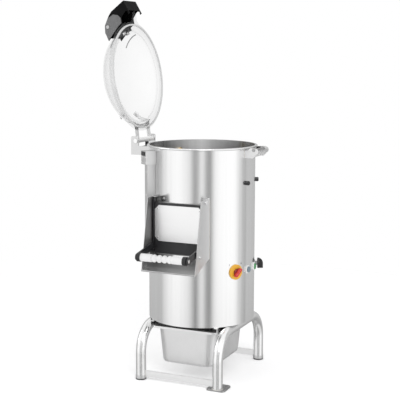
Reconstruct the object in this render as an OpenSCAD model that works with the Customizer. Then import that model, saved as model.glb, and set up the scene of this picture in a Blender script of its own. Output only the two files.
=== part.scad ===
/* [Barrel] */
// Outside diameter of the barrel
barrel_d = 400; // [380:5:420]
// Sheet thickness of the barrel
barrel_t = 2; // [1.5:0.5:3]
// Height of the barrel's lower edge above the floor
barrel_z = 215; // [195:5:260]
// Height of the barrel, lower edge to the top of the rim
barrel_h = 655; // [600:5:760]
// Radius of the rolled bead round the rim
bead_r = 3.5; // [3:0.5:5]
// Height of the drum's floor above the barrel's lower edge
floor_h = 247; // [230:1:260]
// Thickness of the drum's floor and of the base plate
plate_t = 3; // [2:0.5:4]

/* [Abrasive lining and disc] */
// Depth of the lining's upper edge below the rim
liner_down = 114; // [80:1:200]
// Thickness of the abrasive lining
liner_t = 3; // [2:0.5:5]
// Running gap between the disc and the lining
disc_gap = 5; // [3:0.5:8]
// Thickness of the disc
disc_t = 10; // [8:1:14]
// Gap between the drum's floor and the disc
disc_lift = 9; // [6:1:12]
// Height of the waves on the disc
wave_h = 14; // [8:1:20]
// Number of waves on the disc
wave_n = 4; // [2:1:6]
// Diameter of the main shaft
shaft_d = 28; // [22:1:34]

/* [Drive] */
// Radius of the motor's pulley
pulley_small_r = 30; // [24:1:34]
// Gap between the rims of the two pulleys
pulley_gap = 8; // [5:1:20]
// Diameter of the motor's body
motor_d = 124; // [110:2:130]
// Gap between the motor and the barrel's wall
motor_gap = 18; // [10:1:24]
// Height of the motor's body
motor_h = 158; // [130:2:165]
// Height of the pulleys above the base plate
pulley_lift = 32; // [20:1:40]
// Width of the pulleys
pulley_w = 25; // [18:1:28]

/* [Frame] */
// Diameter of the leg tubes
tube_d = 38; // [32:1:42]
// Wall of the leg tubes
tube_t = 2; // [1.5:0.5:3]
// How far each leg frame's centre line lies inside the barrel's wall
leg_in = 44.6; // [36:0.2:56]
// How far the legs' centre lines stand in front of and behind the barrel
leg_out = 6; // [0:1:20]
// Radius of the tube's bend, to its centre line
bend_r = 95; // [60:5:110]
// Height of the cross bars
bar_h = 25; // [18:1:32]
// Thickness of the cross bars
bar_t = 5; // [3:1:8]
// Height of the cross bars' lower edge above the floor
bar_z = 10; // [8:1:20]
// Width of the foot plate
foot_w = 72; // [66:1:90]
// Length of the foot plate
foot_l = 76; // [72:1:90]
// How far the foot plate sits behind its leg
foot_off = 17; // [10:1:20]
// Thickness of the foot plate and of the rubber feet
foot_t = 5; // [4:0.5:8]

/* [Peel tray] */
// Height of the tray's rim below the barrel's lower edge
tray_down = 18; // [12:1:24]
// Height of the turned-down edge at the tray's front
tray_lip = 8; // [5:0.5:10]
// Side play of the tray in its rails
tray_play = 1.5; // [1:0.5:4]
// Sheet thickness of the tray's rails
rail_t = 2; // [1.5:0.5:3]
// Length of the tray over its rim
tray_l = 325; // [290:5:340]
// Depth of the tray
tray_h = 145; // [90:5:150]
// Width of the tray's rim
tray_rim = 14; // [12:0.5:16]
// Radius of the tray's upright corners
tray_r = 36; // [20:1:45]
// Sheet thickness of the tray
tray_t = 1.5; // [1:0.5:2]
// How much the tray's walls draw in towards the bottom, on each side
tray_draft = 11; // [2:1:15]

/* [Outlet chute and door] */
// Width of the chute over its side plates
chute_w = 212; // [204:1:224]
// Thickness of the chute's sheet
chute_t = 2; // [1.5:0.5:3]
// Height of the chute's top above the outlet opening
chute_up = 26; // [22:1:40]
// How far the chute's floor falls from the barrel to its lip
chute_drop = 45; // [30:1:60]
// Reach of the chute's lower front corner from the barrel's wall
chute_reach = 96; // [80:1:120]
// Reach of the chute's upper front corner from the barrel's wall
chute_top_reach = 43; // [35:1:62]
// Height of the outlet opening
outlet_h = 184; // [150:1:200]
// How far the closed door laps over the outlet opening, on each side
door_lap = 6; // [4:1:12]
// Height of the bright door panel
panel_h = 132; // [100:1:135]
// Size of the panel's cut corners
panel_c = 16; // [8:1:24]
// Width of the flat bars that carry the grip
arm_h = 24; // [18:1:25]
// Thickness of those flat bars
arm_t = 5; // [4:0.5:6]
// Length of the black pieces at the ends of the white grip
grip_end = 14; // [8:1:24]
// Diameter of the white grip
grip_d = 28; // [24:1:32]
// Number of beads on the grip
grip_n = 4; // [3:1:6]

/* [Lid] */
// How far the clear lid's flat ring reaches past the barrel's wall
ring_out = 8; // [5:1:10]
// How far the dome's foot lies inside the barrel's wall
dome_in = 18; // [14:1:25]
// Height of the dome above the ring
dome_h = 100; // [85:1:105]
// Wall of the dome
dome_t = 4; // [3:0.5:5]
// Distance of the lid's hinge pin from the barrel's wall
hinge_out = 43; // [40:1:50]
// Height of the lid's hinge pin above the rim
hinge_up = 8; // [7:0.5:10]
// Angle from the closed lid to the open lid
lid_open = 97.2; // [92:0.2:105]
// Half distance between the hinge's fixed ears
ear_y = 67; // [64:1:72]
// Half width of the latch handle
handle_hw = 50; // [44:1:50]
// Sheet of the latch handle
handle_t = 3; // [2:0.5:4]

/* [Controls] */
// Height of the row of controls above the barrel's lower edge
ctl_h = 200; // [170:1:205]
// Angle between neighbouring controls, seen from above
ctl_step = 17.5; // [17:0.5:19]
// Diameter of the main switch's yellow plate
main_d = 56; // [46:1:58]
// Diameter of the push buttons' rings
bezel_d = 31; // [28:1:34]
// Diameter of the push buttons' caps
cap_d = 22; // [16:1:24]
// Travel of the push buttons
press = 3; // [2:0.5:3]
// Diameter of the timer's knob
timer_d = 39; // [32:1:44]

/* [Clearances] */
// Gap between pieces that seat on each other
seat = 0.3; // [0.2:0.05:0.5]
// Radial clearance of a pin or a shaft in its hole
fit = 0.08; // [0.05:0.01:0.1]

/* [Hidden] */
$fn = 64;

R = barrel_d / 2;
Ri = R - barrel_t;
Rs = R + seat;                      // what lies against the barrel outside
Rn = Ri - seat;                     // what lies against it inside
rim_z = barrel_z + barrel_h;
floor_z = barrel_z + floor_h;       // underside of the drum's floor
deck_z = floor_z + plate_t;
disc_z = deck_z + disc_lift;
disc_top = disc_z + disc_t;
liner_ri = Rn - liner_t;
disc_r = liner_ri - disc_gap;
liner_h = rim_z - liner_down - deck_z - 1;
bead_R = R + 5;
lip_R = bead_R + bead_r;

tr = tube_d / 2;
fx = R - leg_in;
frame_w = 2 * fx;
fy = R + leg_out;
run_z = barrel_z - tr - 0.2;        // centre line of the tubes' straight run

chute_in = chute_w / 2 - chute_t;
outlet_z = disc_top;                // lower edge of the outlet opening
chute_z0 = outlet_z - 7;            // underside of the chute's floor at the barrel
chute_z1 = outlet_z + outlet_h + chute_up;
lip_z = chute_z0 - chute_drop;
door_y = -(R + 3);                  // hinge line of the door
door_z = chute_z1 - 13;
collar_y = -(R + 2);
seal_x = chute_in - 8;              // half width of the black door plate
arm_x = seal_x;                     // inner face of the arms
outlet_hw = seal_x - door_lap;      // half width of the outlet opening
panel_w = 2 * seal_x - 2;
grip_l = 2 * (arm_x - grip_end);
seal_y0 = collar_y - seat;
seal_y1 = seal_y0 - 3;
grip_y = -(R + 140);
grip_z = outlet_z + 10;
stop_y = -(R + 53);
stop_z = outlet_z + 8;

shaft_z0 = barrel_z + plate_t + pulley_lift - 5;
pul_z = barrel_z + plate_t + pulley_lift;
mot_z = pul_z + pulley_w + 10;
groove_r = 8;
motor_offset = Ri - motor_gap - motor_d / 2;
pulley_big_r = motor_offset - pulley_small_r - pulley_gap;
bolt_y = 80;                        // the bolts between the barrel and the leg frames

ring_r = R + ring_out;
dome_r = R - dome_in;
hinge_x = R + hinge_out;
hx = -hinge_x;
hz = rim_z + hinge_up;              // height of the lid's hinge line
bar_x = R + 28;                     // catch bar
bar_zz = hz - 17.5;
bar_r = 4;
piv_x = R - 3;                      // pivot of the latch handle, lid closed
piv_b = 73;

ctl_z = barrel_z + ctl_h;
phi_main = -1.5 * ctl_step - 1.5;
phi_stop = -0.5 * ctl_step;
phi_start = 0.5 * ctl_step;
phi_timer = 1.5 * ctl_step - 0.75;
box_a = -90 - asin((chute_w / 2 + 17) / R);  // place of the lid's safety switch, seen from above

pan_top = barrel_z - tray_down;     // upper face of the tray's rim
rail_in = fx - tr - 0.4 - rail_t;
tray_w = 2 * (rail_in - tray_play);
rail_lip = pan_top - tray_t - seat;
drain = [-70, 85 - R];              // axis of the drain pipe
drain_r = 25;
tray_y = -2.5;                      // middle of the tray, along Y

// Rounded rectangle about the origin, in the plane
module rr(w, l, r) {
    square([w - 2 * r, l], center = true);
    square([w, l - 2 * r], center = true);
    for (x = [-1, 1], y = [-1, 1]) translate([x * (w / 2 - r), y * (l / 2 - r)]) circle(r);
}
// Cylinder along +X from x0 to x1
module cx(x0, x1, r) {
    translate([x0, 0, 0]) rotate([0, 90, 0]) cylinder(h = x1 - x0, r = r);
}
// Cylinder along Y from y0 to y1
module cy(y0, y1, r) {
    translate([0, y0, 0]) rotate([-90, 0, 0]) cylinder(h = y1 - y0, r = r);
}
// Radial place on the barrel: +X points outwards
module at(phi, z) {
    rotate([0, 0, phi]) translate([0, 0, z]) children();
}
// Everything inside the barrel's outer face plus the seat gap
module barrel_space(z0, z1, r = Rs) {
    translate([0, 0, z0]) cylinder(h = z1 - z0, r = r, $fn = 180);
}
// A profile in X and Z, extruded along Y from y0 to y1
module side_xz(pts, y0, y1) {
    translate([0, y1, 0]) rotate([90, 0, 0]) linear_extrude(y1 - y0) polygon(pts);
}
// A profile in Y and Z, extruded along X from x0 to x1
module side_yz(pts, x0, x1) {
    translate([x0, 0, 0]) rotate([90, 0, 90]) linear_extrude(x1 - x0) polygon(pts);
}

/* Barrel */
module barrel_shell() {
    color("silver")
    difference() {
        rotate_extrude($fn = 180) {
            translate([Ri, barrel_z]) square([barrel_t, barrel_h - 2]);
            translate([Ri, rim_z - 2]) square([bead_R - Ri, 2]);
            translate([bead_R, rim_z - bead_r]) circle(bead_r, $fn = 32);
        }
        translate([-outlet_hw, -R - 10, outlet_z]) cube([2 * outlet_hw, R, outlet_h]);
        at(phi_main, ctl_z) cx(R - 20, R + 10, 12 + seat);
        for (p = [phi_stop, phi_start]) at(p, ctl_z) cx(R - 20, R + 10, 10.5 + seat);
        at(phi_timer, ctl_z) cx(R - 20, R + 10, 10 + seat);
        for (p = [-12, 23.5]) at(p, rim_z - 132) cx(R - 20, R + 10, 3 + fit);
        at(139.5, rim_z - 40) cx(R - 20, R + 10, 7 + seat);
        at(110, barrel_z + 35) cx(R - 20, R + 10, 8 + seat);
        at(box_a, barrel_z + 305) cx(R - 20, R + 10, 8);
    }
}
module abrasive_liner() {
    color("dimgray")
    difference() {
        translate([0, 0, deck_z + 1]) cylinder(h = liner_h, r = Rn, $fn = 180);
        translate([0, 0, deck_z]) cylinder(h = liner_h + 2, r = liner_ri, $fn = 180);
        translate([-outlet_hw - 2, -R - 10, outlet_z - 2])
            cube([2 * outlet_hw + 4, R, outlet_h + 4]);
    }
}
module drum_floor() {
    color("silver")
    difference() {
        translate([0, 0, floor_z]) cylinder(h = plate_t, r = Rn, $fn = 180);
        translate([0, 0, floor_z - 1]) cylinder(h = plate_t + 2, r = shaft_d / 2 + 5);
        translate([drain[0], drain[1], floor_z - 1]) cylinder(h = plate_t + 2, r = drain_r - 2);
    }
}
module base_plate() {
    color("gray")
    difference() {
        translate([0, 0, barrel_z]) cylinder(h = plate_t, r = Rn, $fn = 180);
        translate([drain[0], drain[1], barrel_z - 1]) cylinder(h = plate_t + 2, r = drain_r + seat);
        for (x = [-fx, fx], y = [-bolt_y, bolt_y])
            translate([x, y, barrel_z - 1]) cylinder(h = plate_t + 2, r = 4 + fit);
    }
}

/* Drive */
module bearing_housing() {
    color("dimgray")
    difference() {
        union() {
            translate([0, 0, floor_z - 10]) cylinder(h = 10, r = 62);
            translate([0, 0, mot_z + 10]) cylinder(h = floor_z - mot_z - 10, r = shaft_d / 2 + 22);
            for (a = [30:60:359]) rotate([0, 0, a])
                side_xz([[30, floor_z - 5], [58, floor_z - 5], [30, floor_z - 60]], -3, 3);
        }
        translate([0, 0, mot_z]) cylinder(h = floor_z, r = shaft_d / 2 + fit);
    }
}
module motor_body() {
    color("slategray")
    translate([0, motor_offset, 0])
    difference() {
        union() {
            translate([0, 0, mot_z + 14]) cylinder(h = motor_h - 28, r = motor_d / 2 - 5);
            for (z = [mot_z, mot_z + motor_h - 14])
                translate([0, 0, z]) cylinder(h = 14, r = motor_d / 2 - 2);
            for (a = [0:15:359]) rotate([0, 0, a])
                translate([motor_d / 2 - 6, -1, mot_z + 20]) cube([6, 2, motor_h - 40]);
        }
        translate([0, 0, mot_z - 1]) cylinder(h = 61, r = 9 + fit);
    }
}
module motor_mount() {
    color("gray") {
        translate([0, motor_offset, mot_z + motor_h]) cylinder(h = 4, r = motor_d / 2 - 2);
        for (a = [0:90:359])
            translate([0, motor_offset, mot_z + motor_h + 4]) rotate([0, 0, a + 45])
                translate([motor_d / 2 - 12, 0, 0]) cylinder(h = floor_z - mot_z - motor_h - 4, r = 6);
    }
}
// Outline of a belt round two pulleys: r1 at the origin, r2 at distance d along Y
module belt_line(r1, r2, d) {
    s = (r1 - r2) / d;
    c = sqrt(1 - s * s);
    circle(r1, $fn = 120);
    translate([0, d]) circle(r2);
    polygon([[r1 * c, r1 * s], [r2 * c, d + r2 * s], [-r2 * c, d + r2 * s], [-r1 * c, r1 * s]]);
}
module drive_belt() {
    color("black")
    translate([0, 0, pul_z + 6 + seat]) linear_extrude(pulley_w - 12 - 2 * seat)
    difference() {
        belt_line(pulley_big_r - 1, pulley_small_r - 1, motor_offset);
        belt_line(pulley_big_r - groove_r + seat, pulley_small_r - groove_r + seat, motor_offset);
    }
}
// Pulley with a flat-bottomed groove, its lower face at z = 0
module pulley(r, bore) {
    difference() {
        cylinder(h = pulley_w, r = r, $fn = 120);
        translate([0, 0, 6]) difference() {
            cylinder(h = pulley_w - 12, r = r + 5);
            translate([0, 0, -1]) cylinder(h = pulley_w, r = r - groove_r, $fn = 120);
        }
        translate([0, 0, -1]) cylinder(h = pulley_w + 2, r = bore);
    }
}
module drive_pulley() {
    color("darkgray")
    translate([0, 0, pul_z]) difference() {
        pulley(pulley_big_r, shaft_d / 2 + fit / 2);
        for (a = [0:60:359]) rotate([0, 0, a]) translate([(pulley_big_r + 8) / 2, 0, -1])
            cylinder(h = pulley_w + 2, r = 11);
    }
}
module motor_pulley() {
    color("darkgray")
    translate([0, motor_offset, 0]) {
        translate([0, 0, pul_z]) pulley(pulley_small_r, 5);
        translate([0, 0, pul_z - 3]) cylinder(h = mot_z - pul_z + 48, r = 9);
    }
}
module main_shaft() {
    color("silver") {
        translate([0, 0, shaft_z0]) cylinder(h = disc_z + 2 - shaft_z0, r = shaft_d / 2);
        translate([0, 0, disc_z + 2]) cylinder(h = disc_t + 10, r = shaft_d / 2 - 6);
    }
}
// Waved disc on the top of the shaft, with its cap nut
module abrasive_disc() {
    cr = 46;
    color("dimgray")
    difference() {
        union() {
            translate([0, 0, disc_z]) cylinder(h = disc_t, r = disc_r, $fn = 180);
            intersection() {
                translate([0, 0, disc_z + 1]) cylinder(h = disc_t + wave_h + 20, r = disc_r - 6);
                for (i = [0:wave_n - 1]) rotate([0, 0, i * 360 / wave_n + 20])
                    translate([0, 0, disc_top + wave_h - cr]) cx(20, R, cr);
            }
            translate([0, 0, disc_top]) cylinder(h = 12, r1 = 40, r2 = 22);
        }
        translate([0, 0, disc_z - 30]) cylinder(h = 30, r = R);
        translate([0, 0, disc_z - 1]) cylinder(h = 3 + fit, r = shaft_d / 2 + fit / 2);
        translate([0, 0, disc_z]) cylinder(h = disc_t + 60, r = shaft_d / 2 - 6 + fit / 2);
        translate([0, 0, disc_top + 12]) cylinder(h = 40, r = 26);
    }
}
module drain_pipe() {
    color("gray")
    translate([drain[0], drain[1], 0]) difference() {
        union() {
            translate([0, 0, barrel_z - 7]) cylinder(h = floor_z - barrel_z + 7, r = drain_r);
            translate([0, 0, floor_z - 4]) cylinder(h = 4, r = drain_r + 8);
        }
        translate([0, 0, barrel_z - 10]) cylinder(h = floor_h + 20, r = drain_r - 2);
    }
}
module control_box() {
    y0 = R * sin(phi_main) - 13;
    y1 = R * sin(phi_timer) + 14;
    color("lightgray")
    difference() {
        intersection() {
            translate([R - 65, y0, ctl_z - 36]) cube([80, y1 - y0, 72]);
            translate([0, 0, ctl_z - 40]) cylinder(h = 80, r = Rn, $fn = 180);
        }
        at(phi_main, ctl_z) cx(R - 22, R + 10, 12 + seat);
        for (p = [phi_stop, phi_start]) at(p, ctl_z) cx(R - 22, R + 10, 10.5 + seat);
        at(phi_timer, ctl_z) cx(R - 22, R + 10, 10 + seat);
    }
}
module cable_gland() {
    color("dimgray")
    at(110, barrel_z + 35) difference() {
        union() {
            difference() {
                cx(R - 4, R + 9, 13);
                rotate([0, 0, 0]) translate([0, 0, -20]) cylinder(h = 40, r = Rs, $fn = 180);
            }
            cx(R - 14, R + 3, 8);
            cx(R + 8, R + 22, 10.5);
            cx(R - 12, R - 4, 12);
        }
        cx(R - 30, R + 30, 4.5);
    }
}
// Brass inlet: a nozzle that points down inside, a threaded spigot outside
module water_nozzle() {
    color("goldenrod")
    at(139.5, rim_z - 40) difference() {
        union() {
            cx(R - 16, R + 34, 7);
            cx(R - 6, R - barrel_t - 0.8, 10);
            cx(R + 0.8, R + 8, 13);
            cx(R + 14, R + 34, 12.5);
            translate([R - 16, 0, -15]) cylinder(h = 15, r = 6);
            translate([R - 16, 0, 0]) sphere(7);
        }
        cx(R - 16, R + 40, 4.5);
        translate([R - 16, 0, -16]) cylinder(h = 16, r = 4);
    }
}

/* Frame */
// One inverted U of tube, running along Y, at x = 0
module u_tube(r) {
    y1 = fy - bend_r;
    z1 = run_z - bend_r;
    translate([0, 0, run_z]) cy(-y1, y1, r);
    for (s = [-1, 1]) {
        translate([0, s * fy, foot_t]) cylinder(h = z1 - foot_t, r = r);
        translate([0, s * y1, z1]) rotate([90, 0, s * 90])
            rotate_extrude(angle = 90) translate([bend_r, 0]) circle(r);
    }
}
module leg_frame() {
    difference() {
        u_tube(tr);
        difference() {
            u_tube(tr - tube_t);
            translate([-tube_d, -2 * fy, 0]) cube([2 * tube_d, 4 * fy, 0.01]);
        }
        for (s = [-1, 1]) translate([0, s * fy, 0]) cylinder(h = foot_t + 1, r = tr - tube_t);
        for (y = [-bolt_y, bolt_y]) translate([0, y, run_z]) cylinder(h = tube_d, r = 4 + fit);
    }
}
module left_leg_tube() { color("gainsboro") translate([-fx, 0, 0]) leg_frame(); }
module right_leg_tube() { color("gainsboro") translate([fx, 0, 0]) leg_frame(); }
module cross_bars() {
    color("gainsboro")
    for (s = [-1, 1]) difference() {
        translate([-fx, s * fy - bar_t / 2, bar_z]) cube([frame_w, bar_t, bar_h]);
        for (x = [-fx, fx]) translate([x, s * fy, 0]) cylinder(h = 100, r = tr + seat / 2);
    }
}
module foot_plate() {
    color("gray")
    translate([fx - 3, foot_off - fy, 0]) difference() {
        linear_extrude(foot_t) rr(foot_w, foot_l, 14);
        for (x = [-21, 21]) translate([x, foot_l / 2 - 13, -1]) cylinder(h = foot_t + 2, r = 4.5);
    }
}
module rubber_feet() {
    color("black")
    for (p = [[-fx, -fy], [-fx, fy], [fx, fy]]) translate([p[0], p[1], 0]) {
        cylinder(h = foot_t, r = tr + 1);
        cylinder(h = foot_t + 16, r = tr - tube_t - 0.1);
    }
}
module frame_bolts() {
    color("silver")
    for (x = [-fx, fx], y = [-bolt_y, bolt_y]) translate([x, y, 0]) {
        translate([0, 0, barrel_z - 14]) cylinder(h = plate_t + 16, r = 4);
        translate([0, 0, barrel_z + plate_t]) cylinder(h = 6, r = 7);
    }
}
// Rails of a C section; the lower lip starts behind the tray's turned-down edge
module tray_rails() {
    y0 = tray_y - tray_l / 2;
    color("silver")
    for (s = [0, 1]) mirror([s, 0, 0]) difference() {
        side_xz([[rail_in + rail_t, barrel_z], [rail_in - 12, barrel_z],
                 [rail_in - 12, barrel_z - rail_t], [rail_in, barrel_z - rail_t],
                 [rail_in, rail_lip], [rail_in - 12, rail_lip],
                 [rail_in - 12, rail_lip - rail_t], [rail_in + rail_t, rail_lip - rail_t]],
                y0 - 1, tray_y + tray_l / 2 + 5);
        translate([rail_in - 14, y0 - 3, rail_lip - rail_t - 1]) cube([14, 28, rail_t + 2]);
    }
}
// One level of the tray: its outside, a share k of the way down, shrunk by t
module tray_level(k, t, z, d = 0) {
    w = tray_w - 2 * tray_rim - 2 * t - 2 * k * tray_draft - 2 * d;
    l = tray_l - 2 * tray_rim - 2 * t - 2 * k * tray_draft - 2 * d;
    translate([0, tray_y, z]) linear_extrude(0.01) rr(w, l, tray_r - t - d / 2, $fn = 32);
}
module tray_solid(t, zb) {
    hull() {
        tray_level(0, t, pan_top - 0.01 + (t > 0 ? 1 : 0));
        tray_level(1 - 12 / tray_h, t, zb + 12);
        tray_level(1 - 4 / tray_h, t, zb + 3.5, 3);
        tray_level(1, t, zb, 11);
    }
}
module peel_tray() {
    color("silver")
    difference() {
        union() {
            tray_solid(0, pan_top - tray_h);
            translate([0, tray_y, pan_top - tray_t]) linear_extrude(tray_t) rr(tray_w, tray_l, 22);
            intersection() {
                translate([0, tray_y, pan_top - tray_lip]) linear_extrude(tray_lip) difference() {
                    rr(tray_w, tray_l, 22);
                    rr(tray_w - 2 * tray_t, tray_l - 2 * tray_t, 22 - tray_t);
                }
                translate([-tray_w, tray_y - tray_l / 2 - 1, 0]) cube([2 * tray_w, 23, pan_top]);
            }
        }
        tray_solid(tray_t, pan_top - tray_h + tray_t);
    }
}

/* Lid: drawn closed, about the hinge line, and swung open */
module lid_place() {
    translate([hx, 0, hz]) rotate([0, -lid_open, 0]) translate([-hx, 0, 0]) children();
}
function dome_pts(a, h, n = 22) = [for (i = [0:n]) let (t = 90 * i / n)
    [a * pow(cos(t), 2 / 2.2), h * pow(sin(t), 2 / 2.2)]];
module dome_solid(a, h) {
    rotate_extrude($fn = 120) polygon(concat([[0, 0]], dome_pts(a, h)));
}
// Clear dome, ring and tongue, all one moulding
module lid_dome() {
    p_out = dome_pts(dome_r, dome_h);
    p_in = dome_pts(dome_r - dome_t, dome_h - dome_t);
    n = len(p_in);
    color("whitesmoke", 0.5)
    lid_place() union() {
        rotate_extrude($fn = 120) union() {
            polygon(concat(p_out, [for (i = [n - 1:-1:0]) p_in[i]]));
            translate([dome_r - dome_t, -2]) square([ring_r - dome_r + dome_t, 5]);
            translate([dome_r - 11, 2]) square([9, 4]);
        }
        translate([0, 0, -2]) linear_extrude(5) {
            polygon([[ring_r - 8, 4], [ring_r + 14, 14], [ring_r + 30, 24],
                     [ring_r + 30, 46], [ring_r + 6, 46.4], [ring_r - 15, 66]]);
            translate([ring_r + 30, 35]) circle(11);
        }
    }
}
module lid_seal() {
    color("white")
    lid_place() rotate_extrude($fn = 120)
        translate([Ri - 4, -hinge_up + seat]) square([5.8, hinge_up - 2 - seat]);
}
module lid_hinge_plate() {
    color("silver")
    lid_place() difference() {
        union() {
            difference() {
                translate([hx, -ear_y + 5, 3]) cube([hinge_x - dome_r + 30, 2 * ear_y - 10, 3]);
                translate([0, 0, -1]) cylinder(h = 20, r = dome_r + seat, $fn = 120);
                translate([hx + 9, -34, -1]) cube([hinge_x - dome_r - 24, 68, 20]);
            }
            intersection() {
                difference() {
                    dome_solid(dome_r + 3.5, dome_h + 3.5);
                    dome_solid(dome_r + 0.4, dome_h + 0.4);
                }
                for (s = [-1, 1]) translate([-dome_r - 8, s * 60 - 12, 3]) cube([58, 24, 60]);
            }
            translate([hx, 0, 0]) cy(-ear_y + seat, ear_y - seat, 9);
        }
        translate([hx, 0, 0]) cy(-ear_y - 1, ear_y + 1, 5 + fit);
        for (s = [-1, 1]) strap_screw(s, 3 + fit);
    }
}
// Axis of a strap screw, square to the dome at its foot
module strap_screw(s, r, l0 = -12, l1 = 12) {
    a = atan2(s * 60, 36 - dome_r);
    rr0 = norm([36 - dome_r, 60]);
    b = dome_h * pow(1 - pow(rr0 / dome_r, 2.2), 1 / 2.2);
    k = dome_h / dome_r * pow(rr0 / dome_r, 1.2) * pow(b / dome_h, -1.2);
    rotate([0, 0, a]) translate([rr0, 0, b]) rotate([0, atan(k), 0]) translate([0, 0, l0])
        cylinder(h = l1 - l0, r = r);
}
// Axes of the two bolts that hold the handle's mount
module mount_bolt(y, r, l0, l1) {
    translate([dome_r - 10, y, 30]) rotate([0, 64, 0]) translate([0, 0, l0])
        cylinder(h = l1 - l0, r = r);
}
module lid_screws() {
    color("dimgray")
    lid_place() {
        for (s = [-1, 1]) {
            strap_screw(s, 7, 4.2, 8);
            strap_screw(s, 6.5, -10, -5.2);
        }
        for (y = [-13, 13]) mount_bolt(y, 8, -9.4, -2.6);
    }
}
module handle_mount() {
    color("black")
    lid_place() difference() {
        union() {
            side_xz([[R - 50, 45], [R - 48, 61], [piv_x - 12, piv_b + 8], [piv_x, piv_b + 9],
                     [piv_x + 9, piv_b + 3], [piv_x + 9, piv_b - 12], [piv_x + 3, 36],
                     [R - 10, 20], [R - 30, 12]], -30, 30);
            translate([piv_x, 0, piv_b])
                cy(-handle_hw + handle_t + seat, handle_hw - handle_t - seat, 9);
        }
        dome_solid(dome_r + seat, dome_h + seat);
        translate([piv_x, 0, piv_b]) cy(-60, 60, 4 + fit / 2);
    }
}
module handle_pin() {
    color("white")
    lid_place() translate([piv_x, 0, piv_b]) {
        cy(-handle_hw - 4, handle_hw + 4, 4);
        for (s = [-1, 1]) translate([0, s * (handle_hw + 4.2), 0]) cy(-1, 1, 6.5);
    }
}
// Side view of the handle, lid closed: distance past the barrel's wall, and height
handle_side = [[87, -4], [38, -25], [34.5, -18.5], [46.5, -17], [47.5, -7], [40, 1],
    [25, 13], [2, 12], [-8, 28], [-55, 77], [-23, 89], [4, 87], [37, 67], [53, 53]];
// Its outer skin runs along these points
handle_skin = [[50, -19.8], [87, -4], [53, 53], [37, 67], [4, 87], [-23, 89], [-45, 80.7]];
function unit(v) = v / norm(v);
function left(v) = [-v[1], v[0]];
// The same line moved by t to its left side, with mitred corners
function shifted(p, t) = [for (i = [0:len(p) - 1]) let (
    a = unit(p[i] - p[max(i - 1, 0)] + (i == 0 ? p[1] - p[0] : [0, 0])),
    b = unit(p[min(i + 1, len(p) - 1)] - p[i] + (i == len(p) - 1 ? p[i] - p[i - 1] : [0, 0])),
    m = unit(left(a) + left(b))) p[i] + m * (t / (m * left(a)))];
module latch_handle() {
    inner = shifted(handle_skin, handle_t);
    n = len(inner);
    color([0.1, 0.1, 0.11])
    lid_place() difference() {
        translate([R, 0, 0]) {
            for (s = [-1, 1]) translate([0, s * (handle_hw - handle_t / 2), 0])
                side_xz(handle_side, -handle_t / 2, handle_t / 2);
            side_xz(concat(handle_skin, [for (i = [n - 1:-1:0]) inner[i]]),
                    -handle_hw + handle_t / 2, handle_hw - handle_t / 2);
        }
        translate([piv_x, 0, piv_b]) cy(-60, 60, 4 + fit);
    }
}
module handle_caps() {
    color("dimgray")
    lid_place() difference() {
        for (s = [-1, 1]) translate([R, s * (handle_hw + 1.5), 0])
            side_xz([[-53, 77], [-23, 87], [4, 85], [29, 69], [41, 45], [36, 26],
                     [24, 15], [4, 14], [-6, 29]], -1.5, 1.5);
        translate([piv_x, 0, piv_b]) cy(-60, 60, 4 + fit);
    }
}

/* Lid hinge, safety switch and latch on the barrel */
module hinge_bracket() {
    z0 = rim_z - 45;
    z1 = rim_z - 11;
    color("silver")
    difference() {
        union() {
            for (s = [0, 1]) mirror([0, s, 0])
                side_xz([[-R + 20, z0], [hx - 21, z0], [hx - 21, hz + 14], [hx - 16, hz + 17],
                         [hx + 7, hz + 17], [hx + 11, hz + 13], [hx + 11, z1],
                         [-R + 20, z1]], ear_y, ear_y + 4);
            translate([-R - 22, -ear_y - 1, z0]) cube([4, 2 * ear_y + 2, z1 - z0]);
        }
        barrel_space(z0 - 1, z1 + 1);
        translate([hx, 0, hz]) cy(-ear_y - 9, ear_y + 9, 5 + fit / 2);
    }
}
module hinge_pin() {
    color("silver")
    translate([hx, 0, hz]) {
        cy(-ear_y - 8, ear_y + 8, 5);
        for (s = [-1, 1]) translate([0, s * (ear_y + 6.7), 0]) cy(-2.5, 2.5, 8);
    }
}
// Rubber block on the bracket's web that the opened lid rests against
module hinge_stop() {
    color("black")
    translate([-R - 25, -30, rim_z - 11 + seat]) cube([9, 12, 14]);
}
module switch_box() {
    color("lightgray")
    at(box_a, rim_z - 65) difference() {
        translate([R - 12, -20, 0]) cube([54, 40, 50]);
        translate([0, 0, -1]) cylinder(h = 60, r = Rs, $fn = 180);
        translate([R + 30, -16, 32]) cube([20, 27, 15]);
    }
}
module switch_plug() {
    color("black")
    at(box_a, rim_z - 65)
        translate([R + 30 + seat, -16 + seat, 32 + seat]) cube([14, 27 - 2 * seat, 15 - 2 * seat]);
}
module wire_duct() {
    color("lightgray")
    at(box_a, barrel_z + 285) difference() {
        side_xz([[R - 10, 0], [R + 12, 0], [R + 32, 20],
                 [R + 32, rim_z - 65 - barrel_z - 285 - seat],
                 [R - 10, rim_z - 65 - barrel_z - 285 - seat]], -11, 11);
        translate([0, 0, -1]) cylinder(h = barrel_h, r = Rs, $fn = 180);
    }
}
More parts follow.
